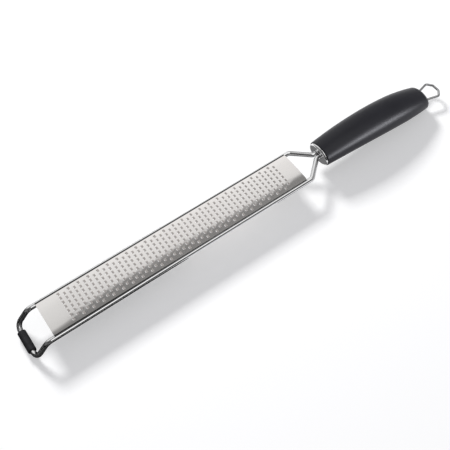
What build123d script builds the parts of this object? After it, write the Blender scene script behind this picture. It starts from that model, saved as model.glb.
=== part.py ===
from build123d import *
import math
import os

os.makedirs("parts", exist_ok=True)

# The rasp zester lies on its foot and on the rear of its grip, teeth up.
# X runs from the foot to the hanging loop, Y across the blade, Z up from the table.
# All sizes are millimetres.

# Wire frame: one bent rod
rod_dia = 4.0                 # round steel rod
rail_spacing = 30.8           # between the two rails' centres
drop_height = 12.2            # crossbar's centre below the rails
drop_angle = 46.0             # slope of the two front legs, in degrees
drop_bend_radius = 8.0        # bend from rail to leg, on the rod's centre
front_corner_radius = 5.7     # bend from leg to crossbar
shoulder_run = 15.1           # length over which the rails close up to the neck
shoulder_bend_radius = 5.0
neck_bend_radius = 4.0
tang_gap = 0.2                # between the two tangs
tang_depth = 62.0             # length of tang inside the handle

# Rasp blade: etched sheet lying on the rails
blade_length = 224.0
blade_edge_inset = 0.75       # the sheet's edges lie this far inside the rails' crowns
blade_thickness = 0.5
blade_crown = 0.7             # rise of the middle of the sheet over its edges
blade_setback = 6.2           # sheet's front edge behind the drop bend
blade_rear_gap = 4.9          # shoulder bend behind the sheet's rear edge
blade_corner_radius = 1.2
tooth_rows = 13
teeth_per_row = 24
row_pitch = 1.96              # between rows, each shifted by half a tooth pitch
front_margin = 17.0           # sheet ahead of the first opening's middle
rear_margin = 14.8            # sheet behind the last opening's middle
tooth_opening_across = 2.0    # width of the straight cutting side
tooth_opening_along = 1.3
tooth_nose_share = 0.5        # width of the opening's front in that of its cutting side
seat_gap = 0.02               # between sheet and rods, filled at the welds

# Tack welds between rods and sheet
weld_count = 7                # on each rail
weld_length = 3.0
weld_leg = 1.6                # width of a bead, whose middle is on the sheet's edge
weld_inset = 12.0             # first and last weld from the sheet's ends

# Rubber foot on the crossbar
foot_length = 18.0
foot_width = 6.4
foot_edge_radius = 0.8
foot_sole_share = 0.62        # flat sole's width in the foot's width

# Handle: oval grip over a hard core, closed by a steel cap
neck_length = 4.7             # rod seen between neck bend and grip
grip_length = 113.6
grip_width = 29.6             # across Y, where it is widest
grip_flatness = 0.71          # height over width
grip_arch = 4.2               # rise of the middle of the axis over its ends
grip_station_share = [0.0, 0.15, 0.3, 0.45, 0.6, 0.75, 0.88, 1.0]
grip_width_share = [0.80, 0.885, 0.945, 0.985, 1.0, 0.975, 0.89, 0.76]
grip_end_radius = 4.4
grip_lip_radius = 0.5
grip_wall = 2.6               # soft layer over the core
grip_end_wall = 5.0           # soft layer behind the core

cap_rim = 0.8                 # grip's lip round the cap
cap_seat_depth = 2.2          # part of the cap inside the grip's lip
cap_proud = 1.7               # part of the cap ahead of the grip
cap_edge_radius = 1.6         # rounding of the cap's front edge
cap_hole_clearance = 0.1

# Hanging loop
loop_wire = 2.2
loop_leg_spacing = 9.6        # where the legs leave the grip
loop_corner_spacing = 16.2
loop_reach = 16.8             # from the grip's end to the bow's centre line
loop_bow = 3.9                # bow of the outer bar
loop_corner_radius = 2.4
loop_leg_bend_radius = 6.0
loop_anchor = 16.0            # length of each leg inside the handle
loop_flat_share = 0.42        # straight middle of the outer bar in the corner spacing

overrun = 2.0                 # how far cutters pass through

# Places worked out from the sizes
rod_radius = rod_dia / 2
rail_y = rail_spacing / 2
foot_radius = foot_width / 2
rail_z = foot_radius + drop_height
drop_run = drop_height / math.tan(math.radians(drop_angle))
tang_y = rod_radius + tang_gap / 2

crossbar_x = 0.0
drop_x = crossbar_x + drop_run
blade_front = drop_x + blade_setback
blade_rear = blade_front + blade_length
tooth_pitch = (blade_length - front_margin - rear_margin) / (teeth_per_row - 1 / 2)
shoulder_x = blade_rear + blade_rear_gap
neck_x = shoulder_x + shoulder_run
grip_front = neck_x + neck_length
grip_rear = grip_front + grip_length
loop_x = grip_rear + loop_reach
foot_front = crossbar_x - foot_radius
loop_rear = loop_x + loop_wire / 2
middle_x = (foot_front + loop_rear) / 2

parts = {}


def keep(name, shape):
    """Moves a finished piece so that X counts from the middle of the whole tool."""
    parts[name] = Pos(-middle_x, 0, 0) * shape


def bent_rod(points, radii, diameter):
    """Round rod along straight runs joined by tangent arcs."""
    path = FilletPolyline(*points, radius=radii)
    start = Plane(origin=path @ 0, z_dir=path % 0)
    return sweep(start * Circle(diameter / 2), path=path)


def grip_axis_z(share):
    """Height of the grip's axis at a share of its length."""
    rest_share = 1 - grip_end_radius / grip_length
    rest_half = half_width_at(rest_share) * grip_flatness
    rest_arch = grip_arch * 4 * rest_share * (1 - rest_share)
    rear_z = (rest_half - rest_arch - rail_z * (1 - rest_share)) / rest_share
    return rail_z * (1 - share) + rear_z * share + grip_arch * 4 * share * (1 - share)


def half_width_at(share):
    """Half of the grip's width at a share of its length, between its stations."""
    for low, high, wide_low, wide_high in zip(
        grip_station_share, grip_station_share[1:], grip_width_share, grip_width_share[1:]
    ):
        if share <= high:
            along = (share - low) / (high - low)
            return (wide_low + (wide_high - wide_low) * along) * grip_width / 2
    return grip_width_share[-1] * grip_width / 2


def oval_body(inset, front, rear):
    """Grip's outer form drawn in by an inset, between two distances from its front."""
    first, last = front / grip_length, rear / grip_length
    inner = [share for share in grip_station_share if first < share < last]
    sections = []
    for share in [first] + inner + [last]:
        half = half_width_at(share)
        place = Plane(
            origin=(grip_front + share * grip_length, 0, grip_axis_z(share)),
            x_dir=(0, 1, 0),
            z_dir=(1, 0, 0),
        )
        sections.append(place * Ellipse(half - inset, half * grip_flatness - inset))
    return loft(sections)


def wire_frame():
    """Crossbar, legs, rails, shoulders and the two tangs, as one rod."""
    half = [
        (grip_front + tang_depth, tang_y, rail_z),
        (neck_x, tang_y, rail_z),
        (shoulder_x, rail_y, rail_z),
        (drop_x, rail_y, rail_z),
        (crossbar_x, rail_y, foot_radius),
    ]
    other = [(x, -y, z) for x, y, z in reversed(half)]
    radii = [neck_bend_radius, shoulder_bend_radius, drop_bend_radius, front_corner_radius]
    return bent_rod(half + other, radii + radii[::-1], rod_dia)


def sheet_radii():
    """Radius of the sheet's underside, and the height of its centre line."""
    half = rail_y - blade_edge_inset
    under = (half**2 + blade_crown**2) / (2 * blade_crown)
    # the sheet's lower edges sit on the rods' inner shoulders, but for the seat gap
    edge_z = rail_z + math.sqrt((rod_radius + seat_gap) ** 2 - blade_edge_inset**2)
    return under, edge_z - under + blade_crown


def sheet_section(width):
    """Crowned section of the sheet, drawn across the tool."""
    under, centre_z = sheet_radii()
    over = under + blade_thickness
    angle = math.asin(width / 2 / under)

    def at(radius, turn):
        return (radius * math.sin(turn), centre_z + radius * math.cos(turn))

    with BuildSketch(Plane.YZ) as section:
        with BuildLine():
            ThreePointArc(at(under, -angle), at(under, 0), at(under, angle))
            Line(at(under, angle), at(over, angle))
            ThreePointArc(at(over, angle), at(over, 0), at(over, -angle))
            Line(at(over, -angle), at(under, -angle))
        make_face()
    return section.sketch


def tooth_places():
    """Centres of the tooth openings, in staggered rows symmetric about the middle."""
    places = []
    for row in range(tooth_rows):
        y = (row - (tooth_rows - 1) / 2) * row_pitch
        shift = tooth_pitch / 2 if row % 2 else 0
        for tooth in range(teeth_per_row):
            places.append((blade_front + front_margin + shift + tooth * tooth_pitch, y))
    return places


def tooth_opening():
    """One opening: straight cutting side to the rear, narrower rounded-off front."""
    along = tooth_opening_along / 2
    across = tooth_opening_across / 2
    nose = across * tooth_nose_share
    return Polygon(
        (along, -across), (along, across), (0, across), (-along, nose), (-along, -nose),
        (0, -across), align=None,
    )


def rasp_blade():
    """Crowned sheet with rounded corners and its tooth openings."""
    width = rail_spacing - 2 * blade_edge_inset
    under, centre_z = sheet_radii()
    sheet = Pos(blade_front, 0, 0) * extrude(sheet_section(width), amount=blade_length)
    corners = [edge for edge in sheet.edges() if edge.length < 2 * blade_thickness]
    sheet = fillet(corners, blade_corner_radius)
    base = Plane(origin=(0, 0, centre_z + under - blade_crown - overrun))
    depth = blade_crown + blade_thickness + 2 * overrun
    opening = tooth_opening()
    return sheet - [extrude(base * (Pos(x, y) * opening), amount=depth) for x, y in tooth_places()]


def blade_welds(frame, sheet):
    """Tack welds in the corner between each rod and the sheet, as one solid each."""
    first = blade_front + weld_inset
    step = (blade_length - 2 * weld_inset) / (weld_count - 1)
    under, centre_z = sheet_radii()
    edge_y = rail_y - blade_edge_inset
    edge_z = centre_z + under - blade_crown
    beads = []
    for side in (1, -1):
        for number in range(weld_count):
            bead = Pos(first + number * step, side * edge_y, edge_z) * (
                Rotation(0, 90, 0) * Cylinder(weld_leg / 2, weld_length)
            )
            beads.append(bead)
    below_sheet = Pos(blade_front + blade_length / 2, 0, centre_z) * (
        Rotation(0, 90, 0) * Cylinder(under, blade_length)
    )
    joined = []
    for bead in beads:
        rest = (bead & below_sheet) - frame
        joined.append(max(rest.solids(), key=lambda solid: solid.volume))
    return Compound(joined)


def foot():
    """Rubber sleeve on the crossbar, with a flat sole that meets the table."""
    sole = foot_width * foot_sole_share
    with BuildSketch(Plane.XZ.offset(-foot_length / 2)) as outline:
        with Locations((crossbar_x, foot_radius)):
            Circle(foot_radius)
        with Locations((crossbar_x, foot_radius / 2)):
            Rectangle(sole, foot_radius)
        with Locations((crossbar_x, foot_radius)):
            Circle(rod_radius, mode=Mode.SUBTRACT)
    block = extrude(outline.sketch, amount=foot_length)
    ends = block.faces().filter_by(Axis.Y)
    rims = [edge for face in ends for edge in face.outer_wire().edges()]
    return fillet(rims, foot_edge_radius)


def cap_oval():
    """Half width and half height of the cap and of its seat."""
    half = grip_width_share[0] * grip_width / 2
    return half - cap_rim, half * grip_flatness - cap_rim


def across_at(x):
    """Plane across the tool at the tangs' height, with its own X along the tool's Y."""
    return Plane(origin=(x, 0, rail_z), x_dir=(0, 1, 0), z_dir=(1, 0, 0))


def front_cap():
    """Steel cap with a rounded edge that closes the grip's front round the two tangs."""
    face_x = grip_front - cap_proud
    height = cap_proud + cap_seat_depth
    body = extrude(across_at(face_x) * Ellipse(*cap_oval()), amount=height)
    front_edges = body.faces().sort_by(Axis.X)[0].edges()
    body = fillet(front_edges, cap_edge_radius)
    slot_across = 2 * (tang_y + rod_radius + cap_hole_clearance)
    slot_tall = rod_dia + 2 * cap_hole_clearance
    slot = SlotOverall(slot_across, slot_tall)
    return body - extrude(across_at(face_x - overrun) * slot, amount=height + 2 * overrun)


def hanging_loop():
    """Wire loop whose two legs are held in the handle's rear, on the grip's axis."""
    z = grip_axis_z(1)
    leg = loop_leg_spacing / 2
    corner = loop_corner_spacing / 2
    corner_x = loop_x - loop_bow
    half = [
        (grip_rear - loop_anchor, leg, z),
        (grip_rear, leg, z),
        (corner_x, corner, z),
        (loop_x, corner * loop_flat_share, z),
    ]
    other = [(x, -y, z) for x, y, z in reversed(half)]
    radii = [loop_leg_bend_radius, loop_corner_radius, loop_corner_radius]
    return bent_rod(half + other, radii + radii[::-1], loop_wire)


def grip_core(frame, loop):
    """Hard core moulded round the tangs and the loop's legs."""
    rear = grip_length - grip_end_wall
    return oval_body(grip_wall, cap_seat_depth, rear) - frame - loop


def grip_sleeve(loop):
    """Soft layer over the core, with the cap's seat in its front."""
    outer = oval_body(0, 0, grip_length)
    rear_face = outer.faces().filter_by(GeomType.PLANE).sort_by(Axis.X)[-1]
    outer = fillet(rear_face.edges(), grip_end_radius)
    front_face = outer.faces().filter_by(GeomType.PLANE).sort_by(Axis.X)[0]
    outer = fillet(front_face.edges(), grip_lip_radius)
    hollow = oval_body(grip_wall, cap_seat_depth, grip_length - grip_end_wall)
    seat_face = across_at(grip_front - overrun)
    seat = extrude(seat_face * Ellipse(*cap_oval()), amount=overrun + cap_seat_depth)
    return outer - hollow - seat - loop


frame = wire_frame()
sheet = rasp_blade()
loop = hanging_loop()

keep("wire_frame", frame)
keep("rasp_blade", sheet)
keep("blade_welds", blade_welds(frame, sheet))
keep("foot_sleeve", foot())
keep("front_cap", front_cap())
keep("grip_core", grip_core(frame, loop))
keep("grip_sleeve", grip_sleeve(loop))
keep("hanging_loop", loop)

for name, shape in parts.items():
    export_step(shape, f"parts/{name}.step")
    box = shape.bounding_box()
    low = ", ".join(f"{value:.2f}" for value in box.min)
    high = ", ".join(f"{value:.2f}" for value in box.max)
    print(f"{name}: solids {len(shape.solids())}, volume {shape.volume:.1f}, {low} to {high}")
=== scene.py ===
import math

import bmesh
import bpy
from mathutils import Matrix, Vector


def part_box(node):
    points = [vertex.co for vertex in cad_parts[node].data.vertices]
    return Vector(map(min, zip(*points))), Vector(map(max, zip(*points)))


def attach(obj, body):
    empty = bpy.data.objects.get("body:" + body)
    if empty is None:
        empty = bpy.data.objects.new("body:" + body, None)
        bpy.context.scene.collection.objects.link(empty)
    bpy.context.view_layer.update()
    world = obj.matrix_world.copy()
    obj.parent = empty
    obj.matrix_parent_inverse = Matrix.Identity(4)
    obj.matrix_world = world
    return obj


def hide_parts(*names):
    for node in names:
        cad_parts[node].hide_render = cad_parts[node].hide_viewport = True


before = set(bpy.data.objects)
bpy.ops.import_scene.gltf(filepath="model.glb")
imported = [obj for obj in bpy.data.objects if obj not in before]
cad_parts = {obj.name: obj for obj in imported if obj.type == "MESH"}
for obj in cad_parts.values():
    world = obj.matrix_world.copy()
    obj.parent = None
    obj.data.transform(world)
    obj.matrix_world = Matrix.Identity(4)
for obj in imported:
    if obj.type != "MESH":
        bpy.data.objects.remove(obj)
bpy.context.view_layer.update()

# The tool lies along X with its foot at the low end, teeth up, Z from the table.
# Sizes are in metres.
MM = 0.001

# Places along the tool and the rod's size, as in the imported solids
CROSSBAR_X = -197.4908 * MM
RAIL_Z = 15.4 * MM
RAIL_Y = 15.4 * MM
ROD_RADIUS = 2.0 * MM
DROP_X = -185.709 * MM
SHEET_FRONT = -179.509 * MM
SHEET_REAR = 44.491 * MM
SHOULDER_X = 49.391 * MM
NECK_X = 64.491 * MM
GRIP_FRONT = 69.191 * MM
GRIP_REAR = 182.7905 * MM
TANG_Y = 2.1 * MM
TANG_DEPTH = 62.0 * MM

# Bends of the rod, on its centre line
NECK_BEND_RADIUS = 4.0 * MM
SHOULDER_BEND_RADIUS = 5.0 * MM
DROP_BEND_RADIUS = 8.0 * MM
FRONT_CORNER_RADIUS = 5.7 * MM

# Rubber foot
FOOT_RADIUS = 3.2 * MM
FOOT_EDGE_RADIUS = 0.8 * MM
FOOT_SOLE_SHARE = 0.62

# Toothed sheet
SHEET_EDGE_Y = 14.65 * MM
SHEET_THICK = 0.5 * MM
SHEET_CROWN = 0.7 * MM
CORNER_RADIUS = 1.2 * MM
TOOTH_ROWS = 13
TEETH_PER_ROW = 24
ROW_PITCH = 1.96 * MM
FRONT_MARGIN = 17.0 * MM
REAR_MARGIN = 14.8 * MM
TOOTH_PITCH = (SHEET_REAR - SHEET_FRONT - FRONT_MARGIN - REAR_MARGIN) / (TEETH_PER_ROW - 0.5)

# Grip
GRIP_LENGTH = GRIP_REAR - GRIP_FRONT
GRIP_WIDTH = 29.6 * MM
GRIP_FLATNESS = 0.71
GRIP_ARCH = 4.2 * MM
STATION_SHARE = [0.0, 0.15, 0.3, 0.45, 0.6, 0.75, 0.88, 1.0]
WIDTH_SHARE = [0.80, 0.885, 0.945, 0.985, 1.0, 0.975, 0.89, 0.76]
GRIP_END_RADIUS = 4.4 * MM
GRIP_LIP_RADIUS = 0.5 * MM
CAP_RIM = 0.8 * MM
CAP_SEAT_DEPTH = 2.2 * MM
CAP_PROUD = 1.7 * MM
CAP_EDGE_RADIUS = 1.6 * MM
CAP_HOLE_CLEARANCE = 0.1 * MM
CAP_HOLE_ROLL = 0.3 * MM
CAP_ROLL_DEPTH = 0.2 * MM
OVAL_SIDES = 112

# Hanging loop
LOOP_WIRE_RADIUS = 1.1 * MM
LOOP_LEG_Y = 4.8 * MM
LOOP_CORNER_Y = 8.1 * MM
LOOP_FLAT_SHARE = 0.42
LOOP_REACH = 16.8 * MM
LOOP_BOW = 3.9 * MM
LOOP_ANCHOR = 16.0 * MM
LOOP_LEG_BEND_RADIUS = 6.0 * MM
LOOP_CORNER_RADIUS = 2.4 * MM

# Tack welds
WELD_COUNT = 7
WELD_LENGTH = 3.0 * MM
WELD_INSET = 12.0 * MM
WELD_HALF_WIDTH = 0.52 * MM
WELD_HALF_HEIGHT = 0.27 * MM
WELD_Y = 14.12 * MM
WELD_Z = 17.08 * MM

# Camera, as fitted to the photograph
FOCAL_PX = 692.81
FRAME_PX = 450
SENSOR_WIDTH = 36.0
CAMERA_PLACE = (-0.17770, -0.23688, 0.46762)
CAMERA_RIGHT = (0.81755, -0.57538, -0.02348)
CAMERA_UP = (0.50399, 0.6952, 0.51253)
CAMERA_BACK = (-0.27857, -0.43085, 0.85835)

# Table
TABLE_HALF = 6.0
TABLE_DROP = 0.05 * MM

# Levels between which the noises mostly lie
NOISE_LOW = 0.3
NOISE_HIGH = 0.7


def add_object(name, data):
    """New object in the scene's own collection."""
    made = bpy.data.objects.new(name, data)
    bpy.context.scene.collection.objects.link(made)
    return made


def mesh_object(name, vertices, edges, faces):
    """New mesh object with its place in its vertices."""
    mesh = bpy.data.meshes.new(name)
    mesh.from_pydata(vertices, edges, faces)
    return add_object(name, mesh)


def new_piece(name, vertices, faces, finish, sharp_angle):
    """Closed piece of one material, faces pointing out."""
    piece = mesh_object(name, vertices, [], faces)
    piece.data.validate()
    piece.data.materials.append(finish)
    finish_mesh(piece.data, sharp_angle)
    return piece


def finish_mesh(mesh, sharp_angle):
    """Joins doubled points, turns the faces outwards and sets the shading."""
    bm = bmesh.new()
    bm.from_mesh(mesh)
    bmesh.ops.remove_doubles(bm, verts=bm.verts, dist=1e-7)
    bmesh.ops.delete(bm, geom=[point for point in bm.verts if not point.link_faces], context="VERTS")
    bmesh.ops.recalc_face_normals(bm, faces=bm.faces)
    bm.to_mesh(mesh)
    bm.free()
    for face in mesh.polygons:
        face.use_smooth = True
    if sharp_angle is not None:
        mesh.set_sharp_from_angle(angle=math.radians(sharp_angle))
    mesh.update()


def ring_faces(rings, count, looped=False, end_faces=False):
    """Quads between successive rings of points; looped joins the last ring to the first."""
    faces = []
    for ring in range(rings if looped else rings - 1):
        here, there = ring * count, (ring + 1) % rings * count
        for i in range(count):
            j = (i + 1) % count
            faces.append((here + i, here + j, there + j, there + i))
    if end_faces:
        faces.append(tuple(range(count)))
        faces.append(tuple((rings - 1) * count + i for i in range(count)))
    return faces


def quarter_round(steps):
    """Sine and cosine at even steps through a quarter turn."""
    turns = [math.pi / 2 * k / steps for k in range(steps + 1)]
    return [(math.sin(a), math.cos(a)) for a in turns]


def node_tree(name):
    """Empty geometry node tree with its two ends."""
    tree = bpy.data.node_groups.new(name, "GeometryNodeTree")
    tree.interface.new_socket("Geometry", in_out="INPUT", socket_type="NodeSocketGeometry")
    tree.interface.new_socket("Geometry", in_out="OUTPUT", socket_type="NodeSocketGeometry")
    return tree, tree.nodes.new("NodeGroupInput"), tree.nodes.new("NodeGroupOutput")


def add_size(tree, name, kind="Float"):
    """Named input of the tree."""
    return tree.interface.new_socket(name, in_out="INPUT", socket_type="NodeSocket" + kind).identifier


def coat_and_end(tree, start, end, shape):
    """Ends a tree: makes its copies real and gives the whole its finish."""
    real = tree.nodes.new("GeometryNodeRealizeInstances")
    coat = tree.nodes.new("GeometryNodeSetMaterial")
    tree.links.new(shape, real.inputs["Geometry"])
    tree.links.new(real.outputs["Geometry"], coat.inputs["Geometry"])
    tree.links.new(start.outputs["Finish"], coat.inputs["Material"])
    tree.links.new(coat.outputs["Geometry"], end.inputs["Geometry"])


def shape_from_tree(name, base, tree, sizes, sharp_angle=None):
    """Runs a tree over a base object and keeps the result as a plain mesh piece."""
    modifier = base.modifiers.new("shape", "NODES")
    modifier.node_group = tree
    for identifier, value in sizes.items():
        modifier[identifier] = value
    bpy.context.view_layer.update()
    evaluated = base.evaluated_get(bpy.context.evaluated_depsgraph_get())
    mesh = bpy.data.meshes.new_from_object(evaluated)
    mesh.name = name
    base.modifiers.remove(modifier)
    bpy.data.objects.remove(base)
    piece = add_object(name, mesh)
    finish_mesh(mesh, sharp_angle)
    return piece


def math_node(nodes, links, operation, first, second=None):
    """Arithmetic on two values or sockets."""
    node = nodes.new("ShaderNodeMath")
    node.operation = operation
    for socket, value in zip(node.inputs, (first, second)):
        if isinstance(value, (int, float)):
            socket.default_value = value
        elif value is not None:
            links.new(value, socket)
    return node.outputs["Value"]


def material(name):
    """Node material with its shader and a ready link helper."""
    made = bpy.data.materials.new(name)
    made.use_nodes = True
    nodes = made.node_tree.nodes
    return made, nodes, nodes["Principled BSDF"], made.node_tree.links


def grain(nodes, links, scale, stretch, detail, roughness=0.5):
    """Noise on the piece's own coordinates, drawn out along an axis."""
    place = nodes.new("ShaderNodeTexCoord")
    mapping = nodes.new("ShaderNodeMapping")
    mapping.inputs["Scale"].default_value = stretch
    noise = nodes.new("ShaderNodeTexNoise")
    noise.inputs["Scale"].default_value = scale
    noise.inputs["Detail"].default_value = detail
    noise.inputs["Roughness"].default_value = roughness
    links.new(place.outputs["Object"], mapping.inputs["Vector"])
    links.new(mapping.outputs["Vector"], noise.inputs["Vector"])
    return noise.outputs["Fac"]


def spread(nodes, links, value, low, high, start=NOISE_LOW, end=NOISE_HIGH, eased=False):
    """Maps a value to a range, evenly or with eased ends."""
    node = nodes.new("ShaderNodeMapRange")
    if eased:
        node.interpolation_type = "SMOOTHSTEP"
    node.inputs["From Min"].default_value = start
    node.inputs["From Max"].default_value = end
    node.inputs["To Min"].default_value = low
    node.inputs["To Max"].default_value = high
    links.new(value, node.inputs["Value"])
    return node.outputs["Result"]


def tint(nodes, links, value, dark, light):
    """Colour that runs between two shades with a noise value."""
    ramp = nodes.new("ShaderNodeValToRGB")
    ramp.color_ramp.elements[0].position = NOISE_LOW
    ramp.color_ramp.elements[0].color = (*dark, 1)
    ramp.color_ramp.elements[1].position = NOISE_HIGH
    ramp.color_ramp.elements[1].color = (*light, 1)
    links.new(value, ramp.inputs["Fac"])
    return ramp.outputs["Color"]


def laid_over(nodes, links, share, under, over, kind="RGBA"):
    """Fixed colour or value laid over another one by a share."""
    mix = nodes.new("ShaderNodeMix")
    mix.data_type = kind
    mix.inputs["B"].default_value = over
    links.new(share, mix.inputs["Factor"])
    links.new(under, mix.inputs["A"])
    return mix.outputs["Result"]


def relief(nodes, links, value, strength, distance):
    """Bump from a noise value."""
    bump = nodes.new("ShaderNodeBump")
    bump.inputs["Strength"].default_value = strength
    bump.inputs["Distance"].default_value = distance
    links.new(value, bump.inputs["Height"])
    return bump.outputs["Normal"]


def polished_rod():
    """Drawn, polished steel rod: bright, with faint lines along it and painted shade beside the sheet.
    """
    made, nodes, shader, links = material("polished_rod")
    lines = grain(nodes, links, 900.0, (0.05, 1.0, 1.0), 4.0)
    cloud = grain(nodes, links, 60.0, (1.0, 1.0, 1.0), 2.0)
    shader.inputs["Metallic"].default_value = 1.0
    bright = tint(nodes, links, cloud, (0.78, 0.78, 0.785), (0.84, 0.84, 0.84))
    # painted shade: the rods' inner shoulders are darkened as long as the sheet that lies there,
    # standing in for the shade of the crevice between rod and sheet
    place = nodes.new("ShaderNodeTexCoord")
    parts = nodes.new("ShaderNodeSeparateXYZ")
    links.new(place.outputs["Object"], parts.inputs["Vector"])
    side = math_node(nodes, links, "ABSOLUTE", parts.outputs["Y"])
    inner = spread(nodes, links, side, 1.0, 0.0, RAIL_Y + 0.2 * MM, RAIL_Y + 0.45 * MM)
    behind = math_node(nodes, links, "GREATER_THAN", parts.outputs["X"], SHEET_FRONT)
    ahead = math_node(nodes, links, "LESS_THAN", parts.outputs["X"], SHEET_REAR)
    high = math_node(nodes, links, "GREATER_THAN", parts.outputs["Z"], RAIL_Z + 1.2 * MM)
    painted_seam_shade = math_node(nodes, links, "MULTIPLY", math_node(nodes, links, "MULTIPLY", behind, ahead), high)
    painted_seam_shade = math_node(nodes, links, "MULTIPLY", painted_seam_shade, inner)
    # on the near rail the painted shade weakens from full at the front to 0.7 further back
    far_side = math_node(nodes, links, "GREATER_THAN", parts.outputs["Y"], 0.0)
    fade = spread(nodes, links, parts.outputs["X"], 1.0, 0.7, -0.13, -0.05)
    fade = math_node(nodes, links, "MAXIMUM", fade, far_side)
    painted_seam_shade = math_node(nodes, links, "MULTIPLY", painted_seam_shade, fade)
    links.new(laid_over(nodes, links, painted_seam_shade, bright, (0.10, 0.10, 0.10, 1)), shader.inputs["Base Color"])
    links.new(spread(nodes, links, lines, 0.06, 0.11), shader.inputs["Roughness"])
    links.new(relief(nodes, links, lines, 0.05, 0.00002), shader.inputs["Normal"])
    return made


def bright_wire():
    """Thin bright wire of the hanging loop."""
    made, nodes, shader, links = material("bright_wire")
    lines = grain(nodes, links, 1200.0, (0.2, 1.0, 1.0), 3.0)
    shader.inputs["Metallic"].default_value = 1.0
    bright = tint(nodes, links, lines, (0.50, 0.50, 0.51), (0.58, 0.58, 0.58))
    links.new(bright, shader.inputs["Base Color"])
    links.new(spread(nodes, links, lines, 0.10, 0.18), shader.inputs["Roughness"])
    return made


def etched_sheet():
    """Rolled spring steel, bright satin, with darker etched walls and flanks at the teeth, their grey
    partly painted shade in the openings, and long edges darkened with painted shade.
    """
    made, nodes, shader, links = material("etched_sheet")
    rolling = grain(nodes, links, 700.0, (0.02, 1.0, 1.0), 5.0, 0.6)
    cloud = grain(nodes, links, 25.0, (0.6, 1.0, 1.0), 3.0)
    shader.inputs["Metallic"].default_value = 1.0
    plain = tint(nodes, links, cloud, (0.86, 0.83, 0.81), (0.90, 0.88, 0.86))
    etched_and_shaded = nodes.new("ShaderNodeAttribute")
    etched_and_shaded.attribute_name = "etched_and_shaded"
    edge = nodes.new("ShaderNodeAttribute")
    edge.attribute_name = "painted_edge_shade"
    # etched faces take a matt grey darker than the steel's own, partly painted shade for the shade
    # inside the openings
    plain = laid_over(nodes, links, etched_and_shaded.outputs["Fac"], plain, (0.55, 0.515, 0.495, 1))
    # painted shade: the long edges go near-black, standing in for the crevice's shade beside the rods
    plain = laid_over(nodes, links, edge.outputs["Fac"], plain, (0.06, 0.06, 0.06, 1))
    links.new(plain, shader.inputs["Base Color"])
    rough = spread(nodes, links, rolling, 0.06, 0.10)
    rough = laid_over(nodes, links, etched_and_shaded.outputs["Fac"], rough, 0.42, "FLOAT")
    links.new(rough, shader.inputs["Roughness"])
    links.new(relief(nodes, links, rolling, 0.05, 0.00001), shader.inputs["Normal"])
    return made


def chromed_cap():
    """Mirror-bright pressed cap with the faintest wiping haze."""
    made, nodes, shader, links = material("chromed_cap")
    haze = grain(nodes, links, 300.0, (1.0, 1.0, 1.0), 3.0)
    shader.inputs["Metallic"].default_value = 1.0
    bright = tint(nodes, links, haze, (0.78, 0.78, 0.79), (0.84, 0.84, 0.84))
    links.new(bright, shader.inputs["Base Color"])
    links.new(spread(nodes, links, haze, 0.06, 0.12), shader.inputs["Roughness"])
    return made


def soft_touch():
    """Black soft-touch moulding: fine matt grain, broad cool shine."""
    made, nodes, shader, links = material("soft_touch")
    pores = grain(nodes, links, 2600.0, (1.0, 1.0, 1.0), 2.0)
    cloud = grain(nodes, links, 45.0, (0.6, 1.0, 1.0), 3.0)
    black = tint(nodes, links, cloud, (0.006, 0.006, 0.0085), (0.009, 0.009, 0.012))
    links.new(black, shader.inputs["Base Color"])
    links.new(spread(nodes, links, cloud, 0.37, 0.42), shader.inputs["Roughness"])
    shader.inputs["Specular IOR Level"].default_value = 0.33
    links.new(relief(nodes, links, pores, 0.12, 0.00004), shader.inputs["Normal"])
    return made


def foot_rubber():
    """Matt black rubber with a fine moulded grain and dusty highs."""
    made, nodes, shader, links = material("foot_rubber")
    pores = grain(nodes, links, 1500.0, (1.0, 1.0, 1.0), 4.0)
    dust = grain(nodes, links, 180.0, (1.0, 1.0, 1.0), 3.0)
    black = tint(nodes, links, dust, (0.012, 0.012, 0.014), (0.022, 0.022, 0.025))
    links.new(black, shader.inputs["Base Color"])
    links.new(spread(nodes, links, pores, 0.5, 0.65), shader.inputs["Roughness"])
    links.new(relief(nodes, links, pores, 0.25, 0.00006), shader.inputs["Normal"])
    return made


def core_plastic():
    """Hard black moulding inside the grip."""
    made, nodes, shader, links = material("core_plastic")
    cloud = grain(nodes, links, 120.0, (1.0, 1.0, 1.0), 2.0)
    black = tint(nodes, links, cloud, (0.03, 0.03, 0.03), (0.05, 0.05, 0.05))
    links.new(black, shader.inputs["Base Color"])
    shader.inputs["Roughness"].default_value = 0.5
    return made


def weld_metal():
    """Dull, slightly browned tack weld."""
    made, nodes, shader, links = material("weld_metal")
    burn = grain(nodes, links, 700.0, (1.0, 1.0, 1.0), 4.0)
    shader.inputs["Metallic"].default_value = 1.0
    browned = tint(nodes, links, burn, (0.30, 0.28, 0.26), (0.55, 0.54, 0.52))
    links.new(browned, shader.inputs["Base Color"])
    links.new(spread(nodes, links, burn, 0.3, 0.55), shader.inputs["Roughness"])
    links.new(relief(nodes, links, burn, 0.4, 0.00008), shader.inputs["Normal"])
    return made


ROD = polished_rod()
WIRE = bright_wire()
SHEET = etched_sheet()
CAP = chromed_cap()
SOFT = soft_touch()
RUBBER = foot_rubber()
CORE = core_plastic()
WELD = weld_metal()


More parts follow.
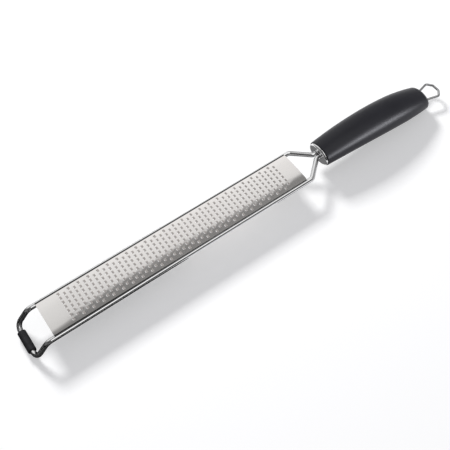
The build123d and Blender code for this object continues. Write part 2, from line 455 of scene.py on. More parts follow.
def rod_tree():
    """Round rod along a line of corners, each rounded to its own bend radius."""
    tree, start, end = node_tree("bent_rod")
    radius = add_size(tree, "Rod Radius")
    sides = add_size(tree, "Sides", "Int")
    steps = add_size(tree, "Steps Per Bend", "Int")
    finish = add_size(tree, "Finish", "Material")
    nodes, links = tree.nodes, tree.links
    line = nodes.new("GeometryNodeMeshToCurve")
    bend = nodes.new("GeometryNodeInputNamedAttribute")
    bend.data_type = "FLOAT"
    bend.inputs["Name"].default_value = "bend_radius"
    fillet = nodes.new("GeometryNodeFilletCurve")
    fillet.mode = "POLY"
    circle = nodes.new("GeometryNodeCurvePrimitiveCircle")
    tube = nodes.new("GeometryNodeCurveToMesh")
    tube.inputs["Fill Caps"].default_value = True
    links.new(start.outputs["Geometry"], line.inputs["Mesh"])
    links.new(line.outputs["Curve"], fillet.inputs["Curve"])
    links.new(bend.outputs["Attribute"], fillet.inputs["Radius"])
    links.new(start.outputs["Steps Per Bend"], fillet.inputs["Count"])
    links.new(start.outputs["Rod Radius"], circle.inputs["Radius"])
    links.new(start.outputs["Sides"], circle.inputs["Resolution"])
    links.new(fillet.outputs["Curve"], tube.inputs["Curve"])
    links.new(circle.outputs["Curve"], tube.inputs["Profile Curve"])
    coat_and_end(tree, start, end, tube.outputs["Mesh"])
    return tree, radius, sides, steps, finish


ROD_TREE, ROD_SIZE, ROD_SIDES, ROD_STEPS, ROD_FINISH = rod_tree()


def bent_rod(name, half, radii, radius, sides, steps, finish):
    """Rod whose second half mirrors the first, given by corners and bend radii."""
    points = half + [(x, -y, z) for x, y, z in reversed(half)]
    bends = [0.0] + radii + radii[::-1] + [0.0]
    base = mesh_object(name + "_line", points, [(i, i + 1) for i in range(len(points) - 1)], [])
    base.data.attributes.new("bend_radius", "FLOAT", "POINT").data.foreach_set("value", bends)
    sizes = {ROD_SIZE: radius, ROD_SIDES: sides, ROD_STEPS: steps, ROD_FINISH: finish}
    return shape_from_tree(name, base, ROD_TREE, sizes, sharp_angle=50)


def wire_frame():
    """The one bent rod from tang to tang."""
    half = [
        (GRIP_FRONT + TANG_DEPTH, TANG_Y, RAIL_Z),
        (NECK_X, TANG_Y, RAIL_Z),
        (SHOULDER_X, RAIL_Y, RAIL_Z),
        (DROP_X, RAIL_Y, RAIL_Z),
        (CROSSBAR_X, RAIL_Y, FOOT_RADIUS),
    ]
    radii = [NECK_BEND_RADIUS, SHOULDER_BEND_RADIUS, DROP_BEND_RADIUS, FRONT_CORNER_RADIUS]
    rod = bent_rod("bent_wire_frame", half, radii, ROD_RADIUS, 40, 14, ROD)
    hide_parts("wire_frame")
    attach(rod, "root")


def grip_axis_z(share):
    """Height of the grip's axis at a share of its length."""
    rest = 1 - GRIP_END_RADIUS / GRIP_LENGTH
    rest_half = straight_half_width(rest) * GRIP_FLATNESS
    rear = (rest_half - GRIP_ARCH * 4 * rest * (1 - rest) - RAIL_Z * (1 - rest)) / rest
    return RAIL_Z * (1 - share) + rear * share + GRIP_ARCH * 4 * share * (1 - share)


def straight_half_width(share):
    """Half width between stations on straight lines."""
    for i in range(len(STATION_SHARE) - 1):
        low, high = STATION_SHARE[i], STATION_SHARE[i + 1]
        if share <= high:
            along = (share - low) / (high - low)
            return (WIDTH_SHARE[i] + (WIDTH_SHARE[i + 1] - WIDTH_SHARE[i]) * along) * GRIP_WIDTH / 2
    return WIDTH_SHARE[-1] * GRIP_WIDTH / 2


def hanging_loop():
    """Wire loop at the grip's end."""
    z = grip_axis_z(1)
    end = GRIP_REAR + LOOP_REACH
    half = [
        (GRIP_REAR - LOOP_ANCHOR, LOOP_LEG_Y, z),
        (GRIP_REAR, LOOP_LEG_Y, z),
        (end - LOOP_BOW, LOOP_CORNER_Y, z),
        (end, LOOP_CORNER_Y * LOOP_FLAT_SHARE, z),
    ]
    radii = [LOOP_LEG_BEND_RADIUS, LOOP_CORNER_RADIUS, LOOP_CORNER_RADIUS]
    loop = bent_rod("hanging_wire", half, radii, LOOP_WIRE_RADIUS, 24, 12, WIRE)
    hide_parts("hanging_loop")
    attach(loop, "root")


# stations of one tooth's cell, from the cell's middle
CELL_LENGTH = TOOTH_PITCH / 2
CELL_X = [-CELL_LENGTH / 2, -0.68 * MM, -0.42 * MM, 0.35 * MM, 1.25 * MM, CELL_LENGTH / 2]
# step between the sheet's points across the tool
LATTICE = ROW_PITCH / 3


def tooth_cell():
    """One raised tooth round its opening, upper and under side, on flat sheet."""
    half = ROW_PITCH
    # sideways places of the seven points at each station along the cell
    plain = [-half, -2 * LATTICE, -LATTICE, 0, LATTICE, 2 * LATTICE, half]
    nose = [-half, -1.15 * MM, -0.52 * MM, 0, 0.52 * MM, 1.15 * MM, half]
    wide = [-half, -1.20 * MM, -0.90 * MM, 0, 0.90 * MM, 1.20 * MM, half]
    tongue = [-half, -1.20 * MM, -0.80 * MM, 0, 0.80 * MM, 1.20 * MM, half]
    hood = [-half, -1.15 * MM, -0.75 * MM, 0, 0.75 * MM, 1.15 * MM, half]
    across = [plain, nose, wide, tongue, hood, plain]
    lip = [-0.20 * MM, -0.44 * MM, -0.20 * MM]
    zero = [0] * 7
    upper = [
        zero,
        zero,
        zero,
        [0, 0, 0.15 * MM, 0.18 * MM, 0.15 * MM, 0, 0],
        [0, 0, 0.02 * MM, 0.025 * MM, 0.02 * MM, 0, 0],
        zero,
    ]
    wall = [[SHEET_THICK] * 7 for _ in range(6)]
    wall[3][2:5] = [0.22 * MM, 0.16 * MM, 0.22 * MM]
    wall[4][2:5] = [0.40 * MM, 0.36 * MM, 0.40 * MM]
    # how far the etching has matted and darkened each face, the darkening partly painted shade in the
    # openings, 0 to 1
    matt = [
        [0, 0, 0, 0, 0, 0],
        [0, 0, 0, 0, 0, 0],
        [0, 1, 0, 0, 1, 0],
        [0, 1, 1, 1, 1, 0],
        [0, 0, 0, 0, 0, 0],
    ]
    vertices = []
    for side in range(2):
        for i in range(6):
            for j in range(7):
                z = upper[i][j] - (wall[i][j] if side else 0)
                # the lip reaches forward over its opening
                x = lip[j - 2] if i == 3 and 2 <= j <= 4 else CELL_X[i]
                vertices.append((x, across[i][j], z))
    # the underside's points follow the upper side's
    under = 6 * 7
    faces, etched_and_shaded = [], []
    for i in range(5):
        for j in range(6):
            if i in (1, 2) and j in (2, 3):
                continue
            a, b = i * 7 + j, (i + 1) * 7 + j
            faces.append((a, b, b + 1, a + 1))
            faces.append((under + a, under + a + 1, under + b + 1, under + b))
            etched_and_shaded += [matt[i][j]] * 2
    # the opening's walls are etched and darkened, partly as painted shade
    rim = [(1, 2), (2, 2), (3, 2), (3, 3), (3, 4), (2, 4), (1, 4), (1, 3)]
    for (i, j), (k, l) in zip(rim, rim[1:] + rim[:1]):
        a, b = i * 7 + j, k * 7 + l
        faces.append((a, b, under + b, under + a))
        etched_and_shaded.append(1.0)
    cell = mesh_object("tooth_cell", vertices, [], faces)
    cell.data.attributes.new("etched_and_shaded", "FLOAT", "FACE").data.foreach_set("value", etched_and_shaded)
    return cell


def sheet_blank():
    """Flat sheet round the teeth, with every tooth's cell left open."""
    first = SHEET_FRONT + FRONT_MARGIN - CELL_LENGTH / 2
    columns = 2 * TEETH_PER_ROW
    xs = [SHEET_FRONT + d * MM for d in (0, 0.35, 1.2, 4.0, 8.0, 12.0)]
    lead = len(xs)
    for column in range(columns):
        xs += [first + column * CELL_LENGTH + CELL_LENGTH / 2 + x for x in CELL_X[:-1]]
    last = first + columns * CELL_LENGTH
    tail = [SHEET_REAR - d * MM for d in (8.0, 4.0, 1.2, 0.35, 0)]
    xs += [last] + tail
    edge = (TOOTH_ROWS + 1) * ROW_PITCH / 2
    lattice = [-edge + k * LATTICE for k in range(3 * (TOOTH_ROWS + 1) + 1)]
    near_rim = [-SHEET_EDGE_Y + d * MM for d in (0, 0.05, 0.2)]
    far_rim = [SHEET_EDGE_Y - d * MM for d in (0.5, 0.35, 0)]
    ys = near_rim + lattice + far_rim
    side = len(near_rim)
    # painted shade: both long edges are darkened, standing in for the shade of the crevice beside the
    # rods
    edge_shade = [1.0, 1.0, 0.0] + [0.0] * len(lattice) + [0.0, 1.0, 1.0]
    low, high = side, side + len(lattice) - 1

    def rounded(x, y):
        """Moves a point of a square corner on to the sheet's rounded one."""
        for end, sign in ((SHEET_FRONT, 1), (SHEET_REAR, -1)):
            u = 1 - (x - end) * sign / CORNER_RADIUS
            v = 1 - (SHEET_EDGE_Y - abs(y)) / CORNER_RADIUS
            if u > 0 and v > 0:
                du, dv = u * math.sqrt(1 - v * v / 2), v * math.sqrt(1 - u * u / 2)
                x = end + sign * (1 - du) * CORNER_RADIUS
                y = math.copysign(SHEET_EDGE_Y - (1 - dv) * CORNER_RADIUS, y)
        return x, y

    rows = len(ys)
    vertices = []
    for z in (0, -SHEET_THICK):
        for x in xs:
            for y in ys:
                px, py = rounded(x, y)
                vertices.append((px, py, z))
    under = len(xs) * rows
    faces = []
    steps = len(CELL_X) - 1
    for i in range(len(xs) - 1):
        column = (i - lead) // steps
        for j in range(rows - 1):
            inside = 0 <= column < columns and i >= lead and low <= j < high
            if inside:
                cell = j - low
                # even columns start with a tooth, odd ones with half a cell of plain sheet
                if column % 2 == 0 or 3 <= cell < high - low - 3:
                    continue
            a, b = i * rows + j, (i + 1) * rows + j
            faces.append((a, b, b + 1, a + 1))
            faces.append((under + a, under + a + 1, under + b + 1, under + b))
    outline = [(i, 0) for i in range(len(xs))]
    outline += [(len(xs) - 1, j) for j in range(1, rows)]
    outline += [(i, rows - 1) for i in range(len(xs) - 2, -1, -1)]
    outline += [(0, j) for j in range(rows - 2, 0, -1)]
    for (i, j), (k, l) in zip(outline, outline[1:] + outline[:1]):
        a, b = i * rows + j, k * rows + l
        faces.append((a, under + a, under + b, b))
    blank = mesh_object("sheet_blank", vertices, [], faces)
    painted_edge_shade = blank.data.attributes.new("painted_edge_shade", "FLOAT", "POINT")
    painted_edge_shade.data.foreach_set("value", edge_shade * (2 * len(xs)))
    return blank


def teeth_tree():
    """Staggered rows of teeth set in the blank, then crowned across."""
    tree, start, end = node_tree("staggered_teeth")
    kinds = {
        "Tooth": "Object", "Rows": "Int", "Teeth Per Row": "Int",
        "Tooth Pitch": "Float", "Row Pitch": "Float", "First Tooth": "Float",
        "Crown Radius": "Float", "Crown Height": "Float", "Finish": "Material",
    }
    keys = {name: add_size(tree, name, kind) for name, kind in kinds.items()}
    nodes, links = tree.nodes, tree.links
    given = start.outputs

    def calc(operation, first, second=None):
        return math_node(nodes, links, operation, first, second)

    index = nodes.new("GeometryNodeInputIndex").outputs["Index"]
    row = calc("FLOOR", calc("DIVIDE", index, given["Teeth Per Row"]))
    tooth = calc("MODULO", index, given["Teeth Per Row"])
    shift = calc("MULTIPLY", calc("MODULO", row, 2.0), 0.5)
    along = calc("MULTIPLY", calc("ADD", tooth, shift), given["Tooth Pitch"])
    x = calc("ADD", given["First Tooth"], along)
    middle = calc("MULTIPLY", calc("SUBTRACT", given["Rows"], 1.0), 0.5)
    y = calc("MULTIPLY", calc("SUBTRACT", row, middle), given["Row Pitch"])
    spot = nodes.new("ShaderNodeCombineXYZ")
    links.new(x, spot.inputs["X"])
    links.new(y, spot.inputs["Y"])
    count = calc("MULTIPLY", given["Rows"], given["Teeth Per Row"])
    line = nodes.new("GeometryNodeMeshLine")
    links.new(count, line.inputs["Count"])
    lay = nodes.new("GeometryNodeSetPosition")
    links.new(line.outputs["Mesh"], lay.inputs["Geometry"])
    links.new(spot.outputs["Vector"], lay.inputs["Position"])
    tooth_object = nodes.new("GeometryNodeObjectInfo")
    links.new(given["Tooth"], tooth_object.inputs["Object"])
    place = nodes.new("GeometryNodeInstanceOnPoints")
    links.new(lay.outputs["Geometry"], place.inputs["Points"])
    links.new(tooth_object.outputs["Geometry"], place.inputs["Instance"])
    real = nodes.new("GeometryNodeRealizeInstances")
    links.new(place.outputs["Instances"], real.inputs["Geometry"])
    join = nodes.new("GeometryNodeJoinGeometry")
    links.new(start.outputs["Geometry"], join.inputs["Geometry"])
    links.new(real.outputs["Geometry"], join.inputs["Geometry"])
    merge = nodes.new("GeometryNodeMergeByDistance")
    merge.inputs["Distance"].default_value = 1e-6
    links.new(join.outputs["Geometry"], merge.inputs["Geometry"])

    position = nodes.new("GeometryNodeInputPosition")
    parts = nodes.new("ShaderNodeSeparateXYZ")
    links.new(position.outputs["Position"], parts.inputs["Vector"])
    turn = calc("DIVIDE", parts.outputs["Y"], given["Crown Radius"])
    reach = calc("ADD", given["Crown Radius"], parts.outputs["Z"])
    bent_y = calc("MULTIPLY", reach, calc("SINE", turn))
    sunk = calc("SUBTRACT", calc("MULTIPLY", reach, calc("COSINE", turn)), given["Crown Radius"])
    bent_z = calc("ADD", sunk, given["Crown Height"])
    bent = nodes.new("ShaderNodeCombineXYZ")
    links.new(parts.outputs["X"], bent.inputs["X"])
    links.new(bent_y, bent.inputs["Y"])
    links.new(bent_z, bent.inputs["Z"])
    crown = nodes.new("GeometryNodeSetPosition")
    links.new(merge.outputs["Geometry"], crown.inputs["Geometry"])
    links.new(bent.outputs["Vector"], crown.inputs["Position"])
    coat_and_end(tree, start, end, crown.outputs["Geometry"])
    return tree, keys


def toothed_sheet():
    """The crowned sheet with its 312 raised teeth."""
    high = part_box("rasp_blade")[1]
    under_radius = (SHEET_EDGE_Y ** 2 + SHEET_CROWN ** 2) / (2 * SHEET_CROWN)
    tree, keys = teeth_tree()
    cell = tooth_cell()
    sizes = {
        keys["Tooth"]: cell,
        keys["Rows"]: TOOTH_ROWS,
        keys["Teeth Per Row"]: TEETH_PER_ROW,
        keys["Tooth Pitch"]: TOOTH_PITCH,
        keys["Row Pitch"]: ROW_PITCH,
        keys["First Tooth"]: SHEET_FRONT + FRONT_MARGIN,
        keys["Crown Radius"]: under_radius + SHEET_THICK,
        keys["Crown Height"]: high[2],
        keys["Finish"]: SHEET,
    }
    sheet = shape_from_tree("toothed_sheet", sheet_blank(), tree, sizes, sharp_angle=4)
    bpy.data.objects.remove(cell)
    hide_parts("rasp_blade")
    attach(sheet, "root")


def weld_bead():
    """One lumpy bead, long along X, with ripples."""
    rings, sides = 13, 12
    bluntness, ripple, ripples = 0.6, 0.08, 6
    vertices = []
    for i in range(rings):
        t = math.pi * i / (rings - 1)
        swell = math.sin(t) ** bluntness * (1 + ripple * math.cos(ripples * t))
        for k in range(sides):
            a = 2 * math.pi * k / sides
            vertices.append((
                -math.cos(t) * WELD_LENGTH / 2,
                math.cos(a) * WELD_HALF_WIDTH * swell,
                math.sin(a) * WELD_HALF_HEIGHT * swell,
            ))
    return mesh_object("weld_bead", vertices, [], ring_faces(rings, sides))


def weld_tree():
    """Beads at the marked points of the joint between rods and sheet."""
    tree, start, end = node_tree("tack_welds")
    bead = add_size(tree, "Bead", "Object")
    finish = add_size(tree, "Finish", "Material")
    nodes, links = tree.nodes, tree.links
    shape = nodes.new("GeometryNodeObjectInfo")
    place = nodes.new("GeometryNodeInstanceOnPoints")
    links.new(start.outputs["Bead"], shape.inputs["Object"])
    links.new(start.outputs["Geometry"], place.inputs["Points"])
    links.new(shape.outputs["Geometry"], place.inputs["Instance"])
    coat_and_end(tree, start, end, place.outputs["Instances"])
    return tree, bead, finish


def tack_welds():
    """Beads in the corner between each rod and the sheet's underside."""
    step = (SHEET_REAR - SHEET_FRONT - 2 * WELD_INSET) / (WELD_COUNT - 1)
    points = []
    for side in (1, -1):
        for i in range(WELD_COUNT):
            points.append((SHEET_FRONT + WELD_INSET + i * step, side * WELD_Y, WELD_Z))
    base = mesh_object("weld_places", points, [], [])
    bead = weld_bead()
    tree, bead_key, finish_key = weld_tree()
    welds = shape_from_tree("tack_welds", base, tree, {bead_key: bead, finish_key: WELD})
    bpy.data.objects.remove(bead)
    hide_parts("blade_welds")
    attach(welds, "root")


def rubber_foot():
    """Sleeve on the crossbar: round above, flat sole below, softened rims."""
    low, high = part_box("foot_sleeve")
    length = high[1] - low[1]
    sides = 64
    sole = FOOT_SOLE_SHARE * FOOT_RADIUS

    def outline(inset):
        points = []
        for k in range(sides):
            a = 2 * math.pi * k / sides
            r = FOOT_RADIUS - inset
            x, z = r * math.sin(a), r * math.cos(a)
            # below the axis the round form is squared towards the flat sole
            if z < 0 and abs(x) < sole:
                z = -FOOT_RADIUS + inset
            elif z < 0:
                blend = (r - abs(x)) / (r - sole)
                z = min(z, -(FOOT_RADIUS - inset) * min(1.0, blend ** 0.5)) if abs(x) < r else z
            points.append((x, z))
        return points

    # profile along the foot: bore mouth, end face, rounded rim, body, and back
    rim = FOOT_EDGE_RADIUS
    stations = [(-length / 2, FOOT_RADIUS - ROD_RADIUS)]
    for s, c in quarter_round(6):
        stations.append((-length / 2 + rim * (1 - c), rim * (1 - s)))
    body = [(-length / 2 + share * length, 0.0) for share in (0.2, 0.35, 0.5, 0.65, 0.8)]
    stations = stations + body + [(-y, inset) for y, inset in reversed(stations)]
    vertices = []
    for y, inset in stations:
        for x, z in outline(inset):
            vertices.append((CROSSBAR_X + x, y, FOOT_RADIUS + z))
    # the bore round the rod joins the two mouths
    faces = ring_faces(len(stations), sides, looped=True)
    foot = new_piece("rubber_foot", vertices, faces, RUBBER, sharp_angle=40)
    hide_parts("foot_sleeve")
    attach(foot, "root")


def smooth_half_width(share):
    """Half width on a smooth curve through the stations."""
    n = len(STATION_SHARE)
    slopes = []
    for i in range(n):
        low, high = max(i - 1, 0), min(i + 1, n - 1)
        rise = WIDTH_SHARE[high] - WIDTH_SHARE[low]
        slopes.append(rise / (STATION_SHARE[high] - STATION_SHARE[low]))
    for i in range(n - 1):
        if share <= STATION_SHARE[i + 1] or i == n - 2:
            h = STATION_SHARE[i + 1] - STATION_SHARE[i]
            t = (share - STATION_SHARE[i]) / h
            value = (
                (2 * t ** 3 - 3 * t ** 2 + 1) * WIDTH_SHARE[i]
                + (t ** 3 - 2 * t ** 2 + t) * h * slopes[i]
                + (3 * t ** 2 - 2 * t ** 3) * WIDTH_SHARE[i + 1]
                + (t ** 3 - t ** 2) * h * slopes[i + 1]
            )
            return value * GRIP_WIDTH / 2


def oval_ring(x, half, tall, z, count):
    """Oval of points across the tool."""
    return [
        (x, half * math.sin(2 * math.pi * k / count), z + tall * math.cos(2 * math.pi * k / count))
        for k in range(count)
    ]


def cap_half_size():
    """Half width and half height of the cap and of its seat in the grip."""
    half = smooth_half_width(0)
    return half - CAP_RIM, half * GRIP_FLATNESS - CAP_RIM


def soft_grip():
    """Arched oval grip with a rounded lip, a seat for the cap and a blunt round end."""
    count = OVAL_SIDES
    lip, end = GRIP_LIP_RADIUS, GRIP_END_RADIUS

    def section(x, share, drop=0.0):
        """Ring of the grip's outline at a share of its length, drawn in by a rounding."""
        half = smooth_half_width(share)
        return oval_ring(x, half - drop, half * GRIP_FLATNESS - drop, grip_axis_z(share), count)

    # seat behind the cap, then its wall up to the front face
    seat_half, seat_tall = cap_half_size()
    seat_x = GRIP_FRONT + CAP_SEAT_DEPTH
    vertices = []
    for shrink in (0.15, 0.55, 1.0):
        vertices += oval_ring(seat_x, seat_half * shrink, seat_tall * shrink, RAIL_Z, count)
    for back, out in ((0.2, 0.0), (0.06, 0.05), (0.0, 0.15)):
        mouth_half, mouth_tall = seat_half + out * MM, seat_tall + out * MM
        vertices += oval_ring(GRIP_FRONT + back * MM, mouth_half, mouth_tall, RAIL_Z, count)
    # rounded lip, body, rounded rear edge and flat end
    for s, c in quarter_round(6):
        x = GRIP_FRONT + lip * (1 - c)
        vertices += section(x, (x - GRIP_FRONT) / GRIP_LENGTH, lip * (1 - s))
    steps = 72
    for k in range(1, steps):
        share = lip / GRIP_LENGTH + (1 - (lip + end) / GRIP_LENGTH) * k / steps
        vertices += section(GRIP_FRONT + share * GRIP_LENGTH, share)
    for s, c in quarter_round(12):
        x = GRIP_REAR - end + end * s
        vertices += section(x, (x - GRIP_FRONT) / GRIP_LENGTH, end * (1 - c))
    half = smooth_half_width(1) - end
    tall = smooth_half_width(1) * GRIP_FLATNESS - end
    for shrink in (0.66, 0.33):
        vertices += oval_ring(GRIP_REAR, half * shrink, tall * shrink, grip_axis_z(1), count)
    faces = ring_faces(len(vertices) // count, count, end_faces=True)
    # the belly lies on the table
    vertices = [(x, y, max(z, 0.0)) for x, y, z in vertices]
    grip = new_piece("soft_grip", vertices, faces, SOFT, sharp_angle=60)
    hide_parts("grip_sleeve")
    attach(grip, "root")
    return grip


def slot_ring(x, count, clearance):
    """Rounded slot round the two tangs, with the same turns as an oval ring."""
    r = ROD_RADIUS + clearance
    points = []
    for k in range(count):
        a = 2 * math.pi * k / count
        s, c = math.sin(a), math.cos(a)
        # nearest way out from the middle along this turn
        if abs(c) > 1e-9 and abs(s / c) * r <= TANG_Y:
            y, z = s / abs(c) * r, math.copysign(r, c)
        else:
            # the slot's round end, met by the same ray
            b = TANG_Y * abs(s)
            root = math.sqrt(max(b * b - TANG_Y * TANG_Y + r * r, 0))
            reach = b + root
            y, z = reach * s, reach * c
        points.append((x, y, RAIL_Z + z))
    return points


def oval_cap():
    """Flat-faced oval cap: slot for the tangs, rounded edge, sides down into the grip's seat."""
    count = OVAL_SIDES
    half, tall = cap_half_size()
    face_x, back_x = GRIP_FRONT - CAP_PROUD, GRIP_FRONT + CAP_SEAT_DEPTH
    edge = CAP_EDGE_RADIUS
    slot = slot_ring(face_x, count, CAP_HOLE_CLEARANCE)
    rolled = slot_ring(face_x, count, CAP_HOLE_ROLL)
    flat = oval_ring(face_x, half - edge, tall - edge, RAIL_Z, count)
    rings = [[(x, y, z) for _, y, z in slot] for x in (back_x, face_x + CAP_ROLL_DEPTH)]
    rings.append(rolled)
    for share in (0.25, 0.6, 0.9):
        rings.append([
            (face_x, y0 + (y1 - y0) * share, z0 + (z1 - z0) * share)
            for (_, y0, z0), (_, y1, z1) in zip(rolled, flat)
        ])
    for s, c in quarter_round(10):
        inset = edge * (1 - s)
        rings.append(oval_ring(face_x + edge * (1 - c), half - inset, tall - inset, RAIL_Z, count))
    rings.append(oval_ring(back_x, half, tall, RAIL_Z, count))
    vertices = [point for ring in rings for point in ring]
    # the flat back joins the outside to the slot
    faces = ring_faces(len(rings), count, looped=True)
    cap = new_piece("oval_cap", vertices, faces, CAP, sharp_angle=50)
    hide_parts("front_cap")
    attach(cap, "root")


wire_frame()
hanging_loop()
toothed_sheet()
tack_welds()
rubber_foot()
grip = soft_grip()
oval_cap()

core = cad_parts["grip_core"]
core.data.materials.clear()
core.data.materials.append(CORE)


def plain_surface(name, colour, glow):
    """Matt stage surface with a glow that the camera and metal see and that lights nothing."""
    made = bpy.data.materials.new(name)
    made.use_nodes = True
    nodes, links = made.node_tree.nodes, made.node_tree.links
    nodes.clear()
    matt = nodes.new("ShaderNodeBsdfDiffuse")
    matt.inputs["Color"].default_value = (colour, colour, colour, 1)
    lit = nodes.new("ShaderNodeEmission")
    lit.inputs["Color"].default_value = (1, 1, 1, 1)
    path = nodes.new("ShaderNodeLightPath").outputs
    seen = math_node(nodes, links, "MAXIMUM", path["Is Camera Ray"], path["Is Glossy Ray"])
    seen = math_node(nodes, links, "MAXIMUM", seen, path["Is Transmission Ray"])
    links.new(math_node(nodes, links, "MULTIPLY", seen, glow), lit.inputs["Strength"])
    both = nodes.new("ShaderNodeAddShader")
    out = nodes.new("ShaderNodeOutputMaterial")
    links.new(matt.outputs["BSDF"], both.inputs[0])
    links.new(lit.outputs["Emission"], both.inputs[1])
    links.new(both.outputs["Shader"], out.inputs["Surface"])
    return made


def level_rectangle(name, low, high):
    """Level rectangle between two corners, at the table's height."""
    corners = [(low[0], low[1], 0), (high[0], low[1], 0), (high[0], high[1], 0), (low[0], high[1], 0)]
    return mesh_object(name, corners, [], [(0, 1, 2, 3)])


def floor():
    """Wide pale table top."""
    top = level_rectangle("table_top", (-TABLE_HALF, -TABLE_HALF), (TABLE_HALF, TABLE_HALF))
    top.data.materials.append(plain_surface("pale_table", 0.72, 0.42))
    top.location.z = -TABLE_DROP


def soft_lamp(name, place, aim, width, height, power, in_metal=True, only=None, colour=(1, 1, 1)):
    """Rectangular soft lamp turned towards a point, for all pieces or for one only."""
    data = bpy.data.lights.new(name, "AREA")
    data.shape = "RECTANGLE"
    data.size = width
    data.size_y = height
    data.energy = power
    data.color = colour
    lamp = add_object(name, data)
    lamp.location = place
    lamp.rotation_euler = (Vector(aim) - Vector(place)).to_track_quat("-Z", "Y").to_euler()
    lamp.visible_glossy = in_metal
    if only is not None:
        lit = bpy.data.collections.new(name + "_on")
        lit.objects.link(only)
        lamp.light_linking.receiver_collection = lit


# what metal sees, by degrees from overhead towards the near side: the pale far wall,
# the back softbox and the shaded ceiling and near wall
REFLECTED_BANDS = [
    (-178, 0.9), (-57, 0.95), (-45, 1.08), (-38, 1.0), (-34, 0.92), (-28, 0.88), (-24, 0.84),
    (-20.8, 0.80), (-19.6, 0.26), (-9, 0.22), (0, 0.14), (60, 0.12), (90, 0.08), (178, 0.05),
]
# the strip light over the near side, which swings back along the tool
STRIP_NEAR_FRONT = 28.0
STRIP_NEAR_GRIP = 6.0
STRIP_HALF_WIDTH = 20.0
STRIP_LEVEL = 1.5


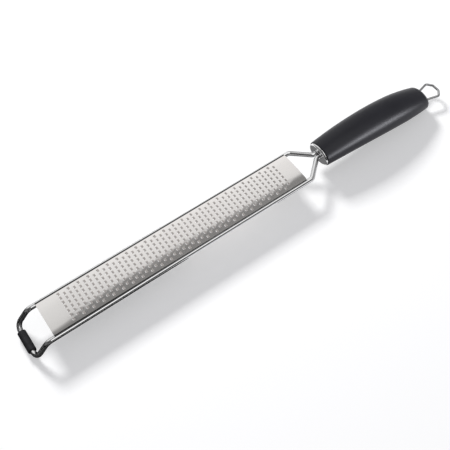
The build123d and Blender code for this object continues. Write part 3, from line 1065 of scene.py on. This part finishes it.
def studio_air(level):
    """Even light on matt surfaces, white seen past the table, softbox bands in metal."""
    world = bpy.data.worlds.new("studio_air")
    bpy.context.scene.world = world
    world.use_nodes = True
    nodes, links = world.node_tree.nodes, world.node_tree.links
    nodes.clear()

    def calc(operation, first, second=None):
        return math_node(nodes, links, operation, first, second)

    place = nodes.new("ShaderNodeTexCoord")
    way = nodes.new("ShaderNodeSeparateXYZ")
    links.new(place.outputs["Generated"], way.inputs["Vector"])

    def ease(value, low, high, start, finish):
        """Smooth run of a value from one level to another."""
        return spread(nodes, links, value, start, finish, low, high, eased=True)

    # degrees from overhead towards the tool's near side, skewed a little along X
    along, height = way.outputs["X"], way.outputs["Z"]
    near = calc("MULTIPLY", way.outputs["Y"], -1.0)
    turn = calc("MULTIPLY", calc("ARCTAN2", near, height), 180 / math.pi)
    back_swing = calc("MULTIPLY", calc("MAXIMUM", calc("SUBTRACT", along, 0.22), 0.0), -11.0)
    skewed = calc("ADD", calc("ADD", turn, ease(along, 0.0, 0.1, -2.5, 2.4)), back_swing)
    across = calc("ADD", calc("DIVIDE", skewed, 360.0), 0.5)
    strip_middle = ease(along, 0.0, 0.2, STRIP_NEAR_FRONT, STRIP_NEAR_GRIP)
    off_strip = calc("ABSOLUTE", calc("SUBTRACT", turn, strip_middle))
    strip = ease(off_strip, STRIP_HALF_WIDTH - 2, STRIP_HALF_WIDTH + 2, STRIP_LEVEL, 0.0)
    bands = nodes.new("ShaderNodeValToRGB")
    ramp = bands.color_ramp
    ramp.elements.remove(ramp.elements[1])
    for number, (degrees, level_here) in enumerate(REFLECTED_BANDS):
        spot = ramp.elements[0] if number == 0 else ramp.elements.new(degrees / 360 + 0.5)
        spot.position = degrees / 360 + 0.5
        spot.color = (level_here, level_here, level_here, 1)
    links.new(across, bands.inputs["Fac"])
    strip = calc("MULTIPLY", strip, ease(along, -0.2, -0.06, 0.0, 1.0))
    # past both ends of the tool the room is dark
    ends = calc("MULTIPLY", ease(along, -0.62, -0.38, 0.05, 1.0), ease(along, 0.43, 0.56, 1.0, 0.3))
    softbox = calc("MULTIPLY", bands.outputs["Color"], ease(along, 0.02, 0.15, 1.03, 1.2))
    mirrored = calc("MULTIPLY", calc("MAXIMUM", softbox, strip), ends)
    # and a dim panel stands at each end
    front_panel = calc("MULTIPLY", ease(along, -0.62, -0.50, 0.18, 0.0),
                       ease(height, 0.28, 0.38, 0.0, 1.0))
    rear_panel = calc("MULTIPLY", ease(along, 0.50, 0.62, 0.0, 0.42),
                      ease(height, 0.05, 0.12, 0.0, 1.0))
    mirrored = calc("MAXIMUM", mirrored, calc("MAXIMUM", front_panel, rear_panel))

    even = nodes.new("ShaderNodeBackground")
    even.inputs["Color"].default_value = (0.93, 0.935, 1.0, 1)
    even.inputs["Strength"].default_value = level
    metal = nodes.new("ShaderNodeBackground")
    links.new(mirrored, metal.inputs["Strength"])
    white = nodes.new("ShaderNodeBackground")
    white.inputs["Color"].default_value = (1, 1, 1, 1)
    path = nodes.new("ShaderNodeLightPath")
    first = nodes.new("ShaderNodeMixShader")
    links.new(path.outputs["Is Glossy Ray"], first.inputs["Fac"])
    links.new(even.outputs["Background"], first.inputs[1])
    links.new(metal.outputs["Background"], first.inputs[2])
    second = nodes.new("ShaderNodeMixShader")
    links.new(path.outputs["Is Camera Ray"], second.inputs["Fac"])
    links.new(first.outputs["Shader"], second.inputs[1])
    links.new(white.outputs["Background"], second.inputs[2])
    out = nodes.new("ShaderNodeOutputWorld")
    links.new(second.outputs["Shader"], out.inputs["Surface"])


def shade_card(name, low, high, shade):
    """Card on the table that only metal sees, as the shade below the tool."""
    card = level_rectangle(name, low, high)
    made, _, shader, _ = material(name)
    shader.inputs["Base Color"].default_value = (shade, shade, shade, 1)
    shader.inputs["Roughness"].default_value = 0.9
    card.data.materials.append(made)
    card.visible_camera = False
    card.visible_diffuse = False
    card.visible_transmission = False
    card.visible_volume_scatter = False
    card.visible_shadow = False


def camera():
    """Plain pinhole camera in the photograph's place."""
    data = bpy.data.cameras.new("camera")
    data.sensor_width = SENSOR_WIDTH
    data.sensor_fit = "HORIZONTAL"
    data.lens = FOCAL_PX / FRAME_PX * SENSOR_WIDTH
    data.clip_start = 0.01
    view = add_object("camera", data)
    turn = Matrix((CAMERA_RIGHT, CAMERA_UP, CAMERA_BACK)).transposed()
    view.matrix_world = Matrix.Translation(CAMERA_PLACE) @ turn.to_4x4()
    bpy.context.scene.camera = view


floor()
shade_card("front_shade", (-0.30, -0.30), (-0.065, 0.06), shade=0.03)
shade_card("far_front_shade", (-1.6, -0.6), (-0.30, 1.2), shade=0.03)
shade_card("side_front_shade", (-0.30, 0.06), (-0.20, 1.2), shade=0.03)
shade_card("neck_shade", (0.02, -0.03), (0.068, 0.034), shade=0.22)
studio_air(level=0.30)
soft_lamp(
    "low_back_window", place=(0.29, 2.05, 1.25), aim=(0, 0, 0),
    width=0.64, height=0.45, power=68.0, in_metal=False,
)
soft_lamp(
    "front_strip", place=(0.55, -0.74, 0.46), aim=(0.13, 0, 0.01),
    width=0.8, height=0.2, power=11.5, only=grip, colour=(0.93, 0.94, 1.0),
)
camera()

scene = bpy.context.scene
scene.view_settings.view_transform = "Standard"
